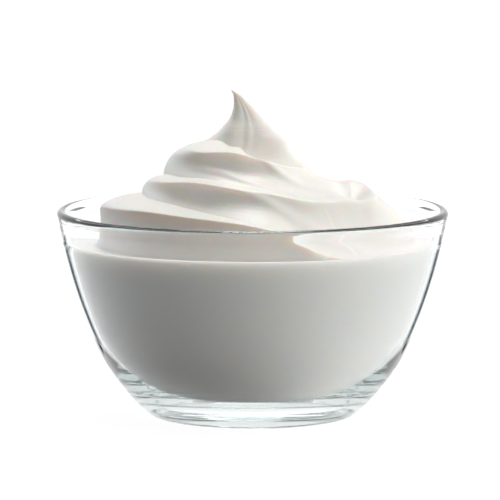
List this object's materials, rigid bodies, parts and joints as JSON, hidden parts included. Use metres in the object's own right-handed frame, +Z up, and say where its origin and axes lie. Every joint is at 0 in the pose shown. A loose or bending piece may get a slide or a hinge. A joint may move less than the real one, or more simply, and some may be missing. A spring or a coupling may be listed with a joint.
{
  "type": "bowl of yogurt",
  "caption": "Clear glass bowl filled with thick white yogurt that is swirled up over the rim to a leaning peak.",
  "frame": {"origin": "middle of the bowl's foot, on the plane that it stands on", "axes": "+Z up along the bowl's axis; -Y is the front, +X the right; the peak leans to -X"},
  "size_m": [0.1398, 0.1398, 0.1166],
  "materials": {
    "glass": "clear, smooth",
    "yogurt": "soft gloss, creamy white"
  },
  "bodies": {
    "root": {"bowl": "glass", "yogurt": "yogurt"}
  },
  "joints": []
}
